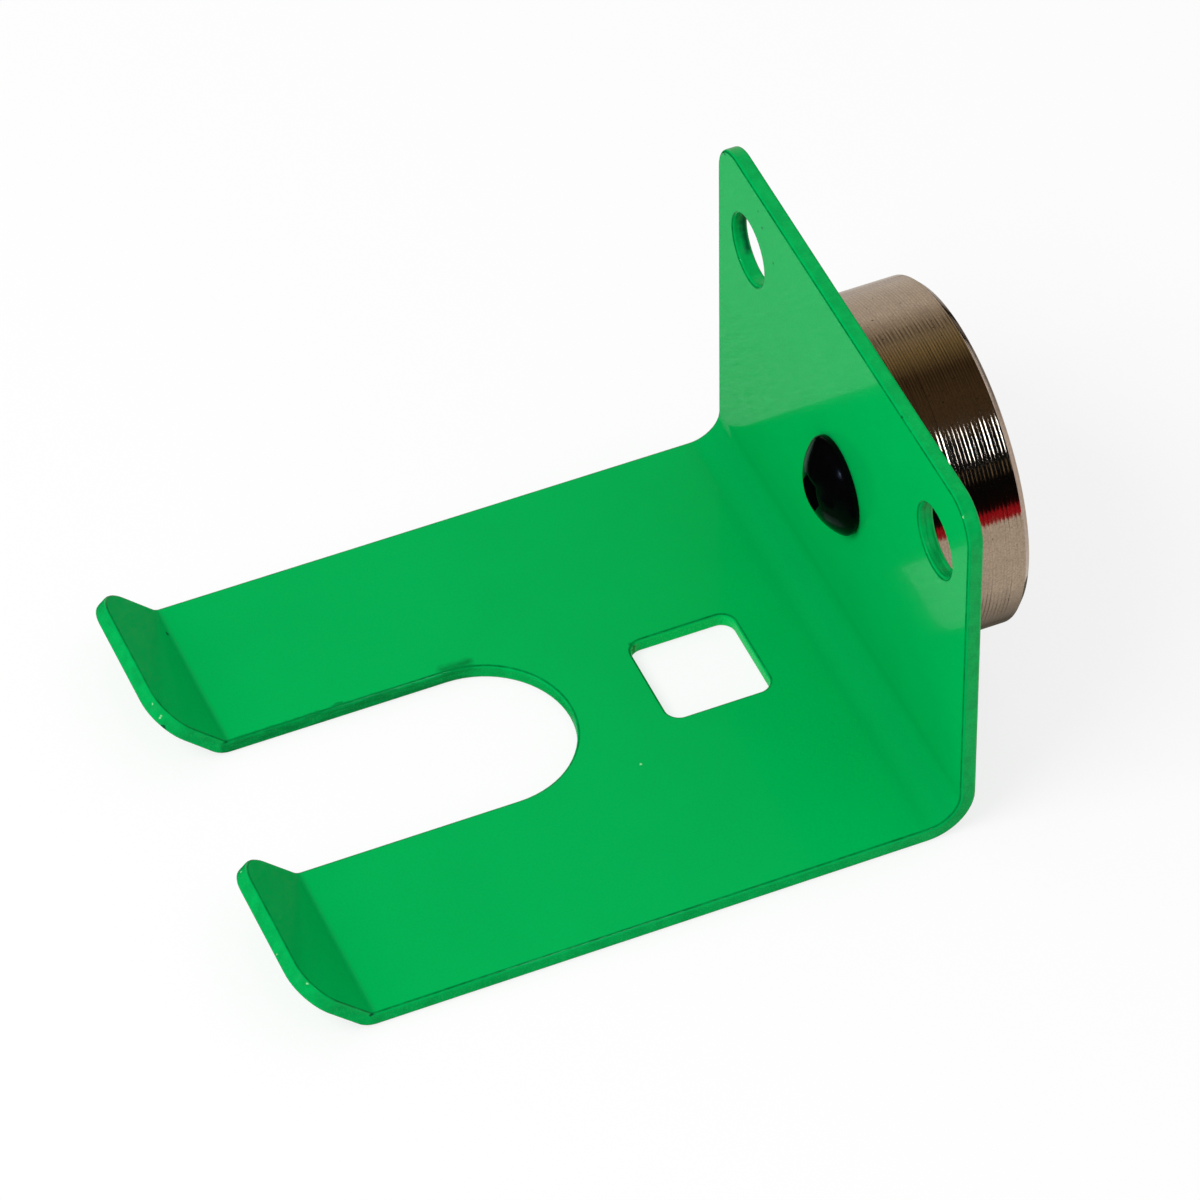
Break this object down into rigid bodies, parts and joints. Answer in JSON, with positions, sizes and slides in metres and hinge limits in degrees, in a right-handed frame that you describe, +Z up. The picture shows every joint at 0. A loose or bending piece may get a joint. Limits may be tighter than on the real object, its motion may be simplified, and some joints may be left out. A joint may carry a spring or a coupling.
{
  "type": "hose hanger",
  "caption": "Folded sheet fork with upturned lips and a wall flange, held by a round pot magnet, for hanging a hose or air tool by its coupling.",
  "frame": {"origin": "centre of the magnet's face, where it meets the wall", "axes": "+Y points into the wall, out of the magnet's face; +Z is up; +X runs along the flange, so the shelf reaches out along -Y"},
  "size_m": [0.07, 0.0978, 0.052],
  "materials": {
    "green_coat": "smooth satin powder coat",
    "plated_steel": "turned and nickel plated",
    "ferrite": "ground ceramic",
    "resin": "cast, matt",
    "black_steel": "black oxide"
  },
  "bodies": {
    "root": {"hanger_plate": "green_coat", "magnet_cup": "plated_steel", "magnet_disc": "ferrite", "potting_ring": "resin", "domed_screw": "black_steel"}
  },
  "joints": []
}
